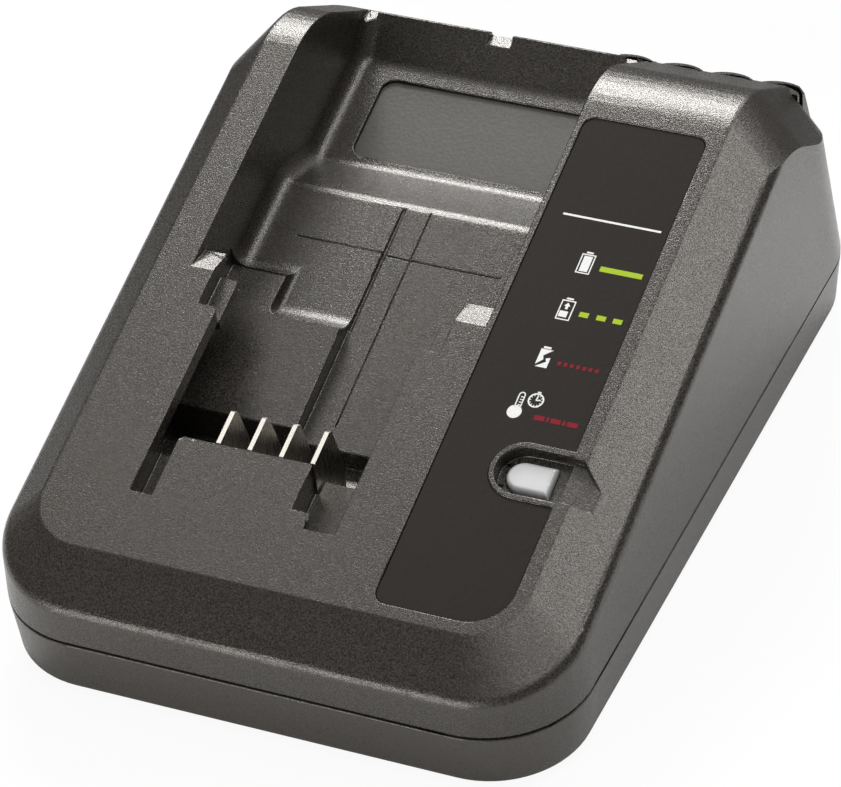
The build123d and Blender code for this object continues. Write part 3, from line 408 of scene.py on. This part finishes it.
# %% Panel film and plate
film = Finish("panel_film", IOR=1.48, Specular_IOR_Level=0.15)
peel = film.noise(900.0, detail=1.0)
film.feed("Base Color", film.blend(film.noise(25.0), colour(38, 34, 30), colour(43, 39, 35)))
film.feed("Roughness", peel * 0.06 + 0.24)
film.bump(peel, 0.00002)
give(nodes["indicator_panel"], film)

plate = Finish("plate_film", IOR=1.48)
grain = plate.noise(1300.0)
plate.feed("Base Color",
           plate.blend(grain.rise(0.3, 0.7), colour(70, 68, 64), colour(77, 75, 70)))
plate.feed("Roughness", grain * 0.1 + 0.40)
plate.bump(grain, 0.00004)
give(nodes["bay_label_plate"], plate)

# %% [markdown]
# The panel's marks are ink: a few hundredths of a millimetre thick, but a real layer. An
# image texture would hold them too, but its edges blur close up. Here each mark is a flat
# outline on the deck's slope, carried up by the thickness of the ink. Outlines are arrays
# of points (across, along), and a ring joins an outer outline to an inner one.

# %% Ink in layers
DECK_SLOPE, DECK_FRONT_Z, HALF_DEPTH = 0.30, 26.1, 87.9     # the deck's plane, in mm
PANEL_DEEP, INK, UNDERSIDE = 0.30, 0.04, -0.01              # mm; the underside is sunk in
SLOPE_LENGTH = (1 + DECK_SLOPE ** 2) ** 0.5
OUTWARD = np.array([0.0, -DECK_SLOPE, 1.0]) / SLOPE_LENGTH


def on_panel(points, lift):
    """Points (x, plan y) in mm laid on the panel's face, then moved out by lift: the
    deck's height there, less the panel's depth along the outward normal."""
    x, y = np.asarray(points, float).T
    base = np.column_stack([x, y, DECK_FRONT_Z + DECK_SLOPE * (y + HALF_DEPTH)])
    return (base + OUTWARD * (lift - PANEL_DEEP)) * MM


class Ink:
    """Collects flat shapes and makes one mesh of them."""

    def __init__(self):
        self.points, self.faces = [], []

    def add(self, rows, faces):
        start = sum(len(p) for p in self.points)
        self.points.append(rows)
        self.faces += [[start + i for i in face] for face in faces]

    def shape(self, outline):
        """A filled outline, counter-clockwise: a top, a bottom and a wall round them."""
        n = len(outline)
        rows = np.vstack([on_panel(outline, UNDERSIDE), on_panel(outline, INK)])
        walls = [(i, (i + 1) % n, n + (i + 1) % n, n + i) for i in range(n)]
        self.add(rows, [list(range(n, 2 * n)), list(range(n - 1, -1, -1))] + walls)

    def ring(self, outer, inner):
        """A band between two outlines with as many points as each other."""
        n = len(outer)
        rows = np.vstack([on_panel(outer, UNDERSIDE), on_panel(outer, INK),
                          on_panel(inner, INK), on_panel(inner, UNDERSIDE)])
        faces = []
        for level_from, level_to in ((0, 1), (1, 2), (2, 3), (3, 0)):
            faces += [(level_from * n + i, level_from * n + (i + 1) % n,
                       level_to * n + (i + 1) % n, level_to * n + i) for i in range(n)]
        self.add(rows, faces)

    def make(self, name, finish):
        mesh = bpy.data.meshes.new(name)
        mesh.from_pydata(np.vstack(self.points).tolist(), [], self.faces)
        mesh.materials.append(finish.material)
        piece = bpy.data.objects.new(name, mesh)
        bpy.context.collection.objects.link(piece)
        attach(piece, "root")
        print(name, len(self.faces), "faces")


print("ink stands", INK, "mm above the film")

# %% [markdown]
# Every mark is made of a few plain outlines: a block, a circle, a straight stroke, and a
# battery drawn from two of them. Writing each outline as a function keeps the drawing
# below as short as a list of parts.

# %% Outlines
def block(left, right, front, rear):
    return np.array([(left, front), (right, front), (right, rear), (left, rear)])


def circle(x, y, radius, count=32):
    """Points at equal angles: x + r cos a, y + r sin a."""
    angle = np.arange(count) * 2 * pi / count
    return np.column_stack([x + radius * np.cos(angle), y + radius * np.sin(angle)])


def stroke(x0, y0, x1, y1, width):
    """A straight stroke of that width between two points."""
    run = np.array([x1 - x0, y1 - y0], float)
    side = np.array([run[1], -run[0]]) / np.hypot(*run) * width / 2
    ends = np.array([(x0, y0), (x1, y1)], float)
    return np.array([ends[0] + side, ends[1] + side, ends[1] - side, ends[0] - side])


def battery_outline(ink, front):
    """An upright cell 2.9 mm wide and 4.5 mm tall with its cap."""
    ink.ring(block(30.35, 33.25, front, front + 4.5),
             block(30.6, 33.0, front + 0.25, front + 4.25))
    ink.shape(block(31.1, 32.5, front + 4.68, front + 5.05))


print("a circle has", len(circle(0, 0, 1)), "corners")

# %% [markdown]
# The white marks name the charger's four states: full, charging, faulty, and too hot or too
# cold to charge. They are pictures that need no language, so the panel needs no words.

# %% White marks
CLOCK = np.array([33.6, -26.15])                # the middle of its face, in mm

pale = Ink()
pale.shape(block(23.2, 43.65, 15.1, 15.55))     # a rule across the panel
battery_outline(pale, 2.9)                      # a full battery
pale.shape(block(30.95, 32.7, 3.4, 6.95))
battery_outline(pale, -7.95)                    # a charging one: low, with an arrow
pale.shape(block(30.75, 32.45, -7.3, -5.95))
pale.shape(np.array([(31.5, -5.5), (32.05, -5.5), (32.05, -4.8), (32.45, -4.8),
                     (31.78, -4.0), (31.1, -4.8), (31.5, -4.8)]))
pale.shape(block(30.75, 32.3, -14.75, -14.3))   # a faulty one: a cap and two broken halves
pale.shape(np.array([(30.4, -18.5), (31.6, -17.2), (31.3, -16.3), (32.9, -14.9),
                     (30.4, -14.9)]))
pale.shape(np.array([(30.5, -18.95), (32.9, -18.95), (32.9, -16.6), (32.0, -16.9),
                     (32.35, -17.6)]))
pale.shape(circle(30.4, -29.4, 1.45))           # a thermometer: bulb, stem and four lines
pale.ring(np.vstack([block(29.9, 31.3, -28.4, -25.6)[:2],
                     circle(30.6, -25.6, 0.7, 12)[:7]]),
          np.vstack([block(30.15, 31.05, -28.3, -25.6)[:2],
                     circle(30.6, -25.6, 0.45, 12)[:7]]))
for step in range(4):
    pale.shape(block(30.5, 31.1, -27.9 + 0.6 * step, -27.7 + 0.6 * step))
pale.ring(circle(*CLOCK, 1.6), circle(*CLOCK, 1.3))         # a clock: rim, hands and button
pale.shape(stroke(*CLOCK, 33.75, -25.1, 0.28))
pale.shape(stroke(*CLOCK, 34.5, -25.95, 0.28))
pale.shape(block(33.35, 34.05, -24.5, -24.2))
for hour in range(12):
    angle = hour * pi / 6
    reach = np.array([cos(angle), sin(angle)])
    pale.shape(stroke(*(CLOCK + reach * 1.02), *(CLOCK + reach * 1.32), 0.16))
print("white marks:", len(pale.points), "shapes")

# %% [markdown]
# Beside each picture stand bars in the colour of the light, long or short as the light
# stays on or blinks: green while all is well, red for a fault or a wrong temperature.

# %% Green and red bars
green = Ink()
green.shape(block(34.95, 43.7, 4.13, 5.3))
for left in (34.75, 38.3, 41.65):
    green.shape(block(left, left + 1.88, -6.52, -5.42))

red = Ink()
for step in range(7):
    red.shape(block(34.65 + 1.28 * step, 35.35 + 1.28 * step, -17.8, -16.95))
for left, right_end in ((34.6, 36.7), (37.1, 37.6), (38.0, 40.0), (40.4, 40.9), (41.3, 43.5)):
    red.shape(block(left, right_end, -30.25, -29.2))
print("green bars:", len(green.points), "red bars:", len(red.points))

# %% [markdown]
# Screen-printing ink dries to an even colour with a satin face. It is opaque, so the dark
# film doesn't show through. The white is kept a little below full white, since nothing
# printed reflects all the light that falls on it.

# %% Inks
def ink_finish(name, low, high):
    """An even colour with a faint mottle."""
    finish = Finish(name, IOR=1.48, Specular_IOR_Level=0.1)
    mottle = finish.noise(2500.0, detail=1.0)
    finish.feed("Base Color", finish.blend(mottle, low, high))
    finish.feed("Roughness", mottle * 0.1 + 0.45)
    return finish


pale.make("panel_marks_white",
          ink_finish("white_ink", colour(226, 226, 224), colour(244, 244, 242)))
green.make("panel_marks_green",
           ink_finish("green_ink", colour(160, 186, 40), colour(172, 198, 52)))
red.make("panel_marks_red",
         ink_finish("red_ink", colour(122, 22, 38), colour(140, 28, 44)))

# %% [markdown]
# The lens over the indicator light is acrylic with a little white in it, polished in the
# mould. It lets a third of the light through and scatters the rest, so the light spreads
# over its whole face. Full transmission would show the dark inside instead.

# %% Lens and light
acrylic = Finish("clear_acrylic", IOR=1.49, Transmission_Weight=0.35)
flow = acrylic.noise(120.0)
acrylic.feed("Base Color", acrylic.blend(flow, (0.93, 0.94, 0.95, 1), neutral(0.98)))
acrylic.feed("Roughness", flow * 0.05 + 0.05)
give(nodes["light_pipe"], acrylic)
give(nodes["indicator_led"], acrylic)

# %% [markdown]
# The contact blades are stamped from brass strip and plated with nickel. The punch leaves
# fine vertical lines on their edges, and the plating is bright but not a mirror. A noise
# squeezed along one axis makes such lines: its cells grow long the other way.

# %% Contact blades
def metal(name, dark, light, rough, stretch, line_scale):
    """Bright metal whose fine lines run along the axis that stretch makes small."""
    finish = Finish(name, Metallic=1.0)
    long_way = finish.node("ShaderNodeMapping", {},
                           {"Vector": finish.point, "Scale": stretch})
    lines = finish.noise(line_scale, detail=3.0, vector=long_way)
    finish.feed("Base Color", finish.blend(lines, dark, light))
    finish.feed("Roughness", lines * 0.2 + (rough - 0.1))
    finish.bump(lines, 0.00002)
    return finish


nickel = metal("plated_contact", colour(190, 184, 174), colour(240, 236, 228), 0.28,
               (1.0, 1.0, 0.08), 3000.0)
for name in ("blade_positive", "blade_sense", "blade_thermistor", "blade_negative"):
    give(nodes[name], nickel)

# %% [markdown]
# The terminal block, the connector and the chips are black glass-filled nylon and epoxy,
# duller than the housing. Where a component has metal legs, they are the part of it that
# lies below its body. One material can show both, because the height decides which it is.

# %% Black parts
def black_part(name, legs_below=None, tab_above=None):
    """Dull black body; faces below or above the given heights (mm) are tinned metal."""
    finish = Finish(name, IOR=1.5)
    fibre = finish.noise(1800.0)
    height = finish.axes()[2]
    metal_share = fibre * 0.0                   # none, until legs or a tab are stated
    if legs_below:
        metal_share = 1 - height.over(legs_below * MM)
    if tab_above:
        metal_share = metal_share.higher(height.over(tab_above * MM))
    body = finish.blend(fibre, colour(26, 26, 27), colour(40, 40, 41))
    tin = finish.blend(fibre, colour(168, 170, 172), colour(196, 198, 200))
    finish.feed("Base Color", finish.blend(metal_share, body, tin))
    finish.feed("Metallic", metal_share)
    finish.feed("Roughness", fibre * 0.15 + 0.42)
    finish.bump(fibre, 0.00004)
    return finish


give(nodes["terminal_block"], black_part("glass_filled_nylon"))
give(nodes["mains_connector"], black_part("connector_nylon"))
give(nodes["control_chip"], black_part("chip_epoxy", legs_below=9.35))
give(nodes["switching_transistor"],
     black_part("transistor_epoxy", legs_below=13.75, tab_above=22.85))
give(nodes["bridge_rectifier"], black_part("rectifier_epoxy", legs_below=11.75))
give(nodes["chip_resistors"], black_part("resistor_ceramic", legs_below=9.0))

# %% [markdown]
# The screws are steel with a coat of zinc, greyer than nickel. The feet and the bush round
# the cord's hole are soft rubber: dark, dull, and never quite free of dust.

# %% Steel and rubber
steel = metal("zinc_steel", colour(150, 152, 154), colour(198, 199, 200), 0.34,
              (1, 1, 0.2), 1500.0)
give(nodes["housing_screws"], steel)
give(nodes["board_screws"], steel)

rubber = Finish("soft_rubber", IOR=1.45)
dust = rubber.noise(500.0, detail=3.0)
rubber.feed("Base Color", rubber.blend(dust, colour(24, 24, 24), colour(42, 41, 40)))
rubber.feed("Roughness", dust * 0.15 + 0.72)
rubber.bump(dust, 0.00006)
give(nodes["rubber_feet"], rubber)
give(nodes["cord_inlet_bush"], rubber)

# %% [markdown]
# The circuit board is glass cloth in epoxy under green lacquer, and the glass weave shows
# faintly through it. Two sine waves, one across and one along, make a weave more evenly
# than any noise would.

# %% Circuit board
THREADS = 9000.0                                # radians per metre: one thread in 0.7 mm

board = Finish("board_laminate", IOR=1.5)
across, along = board.axes()[:2]
threads = (across * THREADS).wave() * (along * THREADS).wave() * 0.5 + 0.5
board.feed("Base Color", board.blend(threads, colour(14, 60, 34), colour(30, 92, 54)))
board.feed("Roughness", threads * 0.08 + 0.28)
board.bump(threads, 0.00001)
give(nodes["circuit_board"], board)

# %% [markdown]
# Ferrite is pressed powder, fired like a pot: dark grey and dull. The choke is a ferrite
# ring wound with copper wire on its two halves. Modelling each turn would cost thousands of
# faces that nobody sees, so stripes counted by the angle about its middle stand for them.

# %% Ferrite and copper
CHOKE_X, CHOKE_Y = -30, 48                      # the ring's middle, in mm
TURNS = 44.0                                    # round the whole ring
GAP = 0.25                                      # leaves bare ferrite between the windings

ferrite = Finish("ferrite", IOR=1.6)
powder = ferrite.noise(2600.0)
ferrite.feed("Base Color", ferrite.blend(powder, colour(42, 42, 45), colour(74, 74, 78)))
ferrite.feed("Roughness", powder * 0.2 + 0.5)
ferrite.bump(powder, 0.00004)
give(nodes["transformer_core"], ferrite)

choke = Finish("wound_choke", IOR=1.5)
across, along = choke.axes()[:2]
angle = choke.node("ShaderNodeMath", {"operation": "ARCTAN2"},
                   {0: along - CHOKE_Y * MM, 1: across - CHOKE_X * MM})
turns = (angle * TURNS).wave()
wound = abs(angle.wave()).over(GAP)
powder = choke.noise(2200.0)
core = choke.blend(powder, colour(58, 74, 60), colour(72, 92, 74))
wire = choke.blend(turns * 0.5 + 0.5, colour(96, 44, 22), colour(198, 112, 62))
choke.feed("Base Color", choke.blend(wound, core, wire))
choke.feed("Roughness", 0.5 - wound * 0.18 + powder * 0.05)
choke.bump(turns * wound, 0.0003)
give(nodes["common_mode_choke"], choke)

# %% [markdown]
# The transformer's winding is closed with yellow tape, and the edge of each turn shows as a
# fine step. A sine wave up the coil repeats that step. The yellow box of the interference
# capacitor is as tall as one repeat, so the same finish gives it a single soft line.

# %% Tape and the yellow box
def taped(name, low, high, pitch):
    """Tape laid in turns round an upright coil: its edges repeat at that pitch, in mm."""
    finish = Finish(name, IOR=1.5)
    height = finish.axes()[2]
    lap = (height * (2 * pi / (pitch * MM))).wave().rise(0.75, 1.0)
    fleck = finish.noise(700.0)
    finish.feed("Base Color", finish.blend(fleck, low, high))
    finish.feed("Roughness", fleck * 0.1 + 0.3 + lap * 0.1)
    finish.bump(fleck * 0.2 - lap, 0.00006)
    return finish


give(nodes["transformer_winding"],
     taped("winding_tape", colour(206, 164, 30), colour(226, 186, 52), 3.2))
give(nodes["x_capacitor"],
     taped("capacitor_box", colour(196, 158, 24), colour(214, 176, 40), 13.0))

# %% [markdown]
# An electrolytic capacitor is an aluminium can in a shrunk plastic sleeve. The sleeve stops
# just short of the top, and a pale stripe down one side marks the negative leg. Both are
# found from the coordinates, so one material serves cans that stand side by side.

# %% Capacitors
SLEEVE_GAP = 0.6                                # mm of bare can at the top


def sleeved(name, centres, top, sleeve_low, sleeve_high):
    """A sleeve with a pale stripe on its left; centres are (x, y, radius), all in mm."""
    finish = Finish(name, IOR=1.5)
    across, along, height = finish.axes()
    fleck = finish.noise(900.0)
    bare = height.over((top - SLEEVE_GAP) * MM)
    stripe = fleck * 0.0                        # none, until a can's side is reached
    for x, y, radius in centres:
        near = 1 - abs(along - y * MM).over(radius * 0.45 * MM)
        inner = 1 - across.over((x - radius * 0.3) * MM)
        outer = across.over((x - radius * 1.1) * MM)
        stripe = stripe.higher(near * (inner * outer))
    sleeve = finish.blend(fleck, sleeve_low, sleeve_high)
    sleeve = finish.blend(stripe, sleeve, colour(178, 184, 190))
    can = finish.blend(fleck, colour(176, 178, 180), colour(204, 206, 208))
    finish.feed("Base Color", finish.blend(bare, sleeve, can))
    finish.feed("Metallic", bare)
    finish.feed("Roughness", fleck * 0.1 + 0.28)
    finish.bump(fleck, 0.00003)
    return finish


give(nodes["bulk_capacitor"],
     sleeved("bulk_sleeve", [(33.0, 49.0, 8.0)], 33.8, colour(22, 24, 34),
             colour(34, 36, 50)))
give(nodes["output_capacitors"],
     sleeved("output_sleeve", [(26.0, -27.0, 5.0), (38.0, -27.0, 5.0)], 22.8,
             colour(20, 42, 44), colour(30, 58, 60)))

# %% [markdown]
# The heat sink is a plate of bare aluminium with upright fins, pressed through a die that
# leaves lines along them. The fuse is a glass tube between two plated caps. The tube is
# drawn opaque, because nothing inside it would show at this size.

# %% Heat sink and fuse
CAP_LEFT, CAP_RIGHT = 8, 17                     # mm: the caps lie outside these

give(nodes["heat_sink"],
     metal("sink_aluminium", colour(158, 160, 163), colour(206, 208, 210), 0.4,
           (1.0, 1.0, 0.05), 2200.0))

glass = Finish("fuse_glass", IOR=1.5)
across = glass.axes()[0]
caps = (1 - across.over(CAP_LEFT * MM)).higher(across.over(CAP_RIGHT * MM))
haze = glass.noise(800.0)
tube = glass.blend(haze, colour(150, 158, 156), colour(190, 198, 196))
cap = glass.blend(haze, colour(176, 174, 168), colour(208, 206, 200))
glass.feed("Base Color", glass.blend(caps, tube, cap))
glass.feed("Metallic", caps)
glass.feed("Roughness", haze * 0.06 + 0.12)
give(nodes["fuse"], glass)

# %% [markdown]
